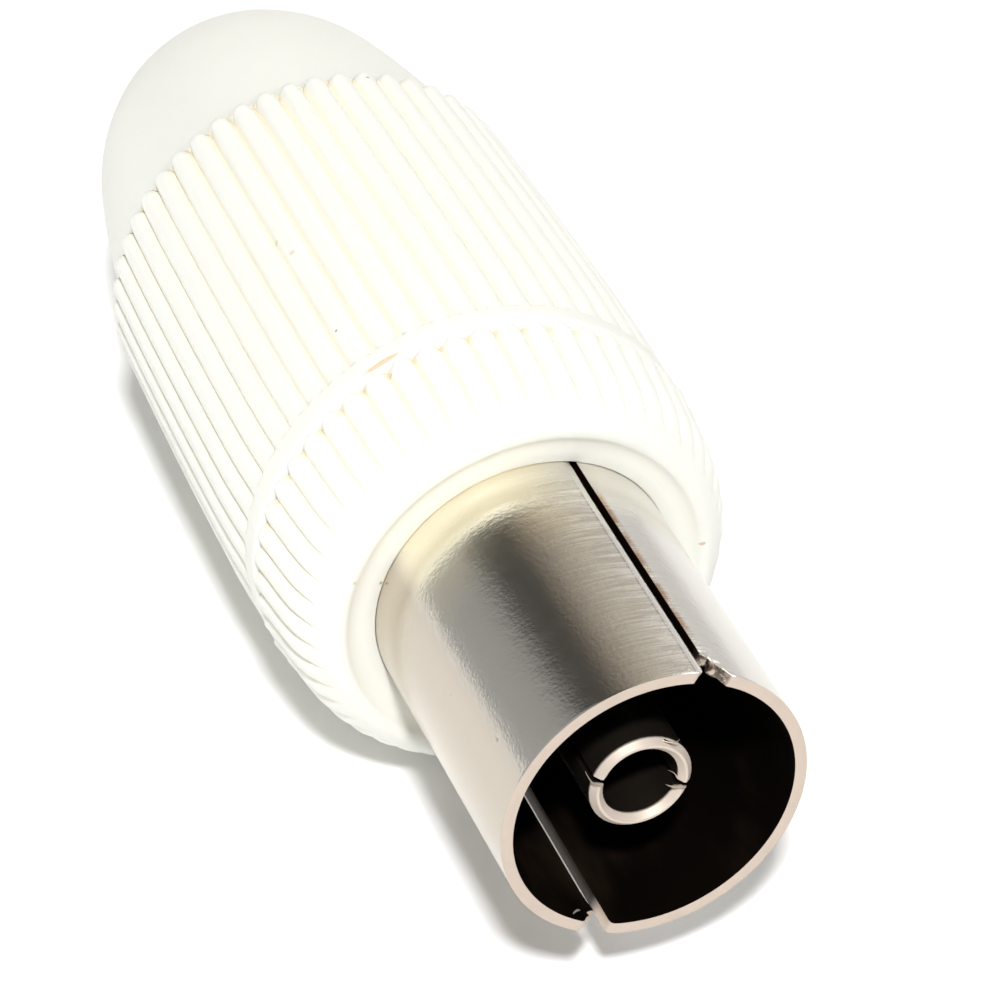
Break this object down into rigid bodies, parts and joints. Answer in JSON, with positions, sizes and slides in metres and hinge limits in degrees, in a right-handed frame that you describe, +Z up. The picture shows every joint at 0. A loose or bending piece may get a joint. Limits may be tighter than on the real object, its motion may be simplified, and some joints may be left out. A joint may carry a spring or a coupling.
{
  "type": "tv coaxial line socket",
  "caption": "Screw-together line socket for television coaxial cable: white ribbed cover and collar, slit metal barrel and split centre contact.",
  "frame": {"origin": "centre of the barrel's mouth, in the plane of its rim", "axes": "+Y along the connector's axis from the mouth to the cable's hole, +Z up as it lies on a table, +X to the right seen from the mouth's side looking along +Y"},
  "size_m": [0.016, 0.042, 0.016],
  "materials": {
    "white_plastic": "moulded, satin gloss",
    "nickel_sheet": "satin nickel plate, finely brushed",
    "contact_plating": "bright nickel plate",
    "insulator_plastic": "natural moulded",
    "screw_steel": "zinc plate",
    "claw_plating": "nickel plate"
  },
  "bodies": {
    "front_body": {"outer_shell": "nickel_sheet", "front_collar": "white_plastic", "insulator": "insulator_plastic", "centre_contact": "contact_plating", "core_screw": "screw_steel", "thrust_washer": "claw_plating"},
    "claw": {"clamp_claw": "claw_plating"},
    "cover": {"rear_cover": "white_plastic"}
  },
  "joints": [
    {"name": "claw_travel", "type": "slide", "parent": "front_body", "child": "claw", "axis": [0, 1, 0], "range_m": [0, 0.03]},
    {"name": "cover_turn", "type": "hinge", "parent": "claw", "child": "cover", "pos_m": [0, 0, 0], "axis": [0, 1, 0], "range_deg": [0, 7200]}
  ],
  "couplings": [
    {"joint": "claw_travel", "follows": "cover_turn", "m_per_rad": 0.00023873}
  ]
}
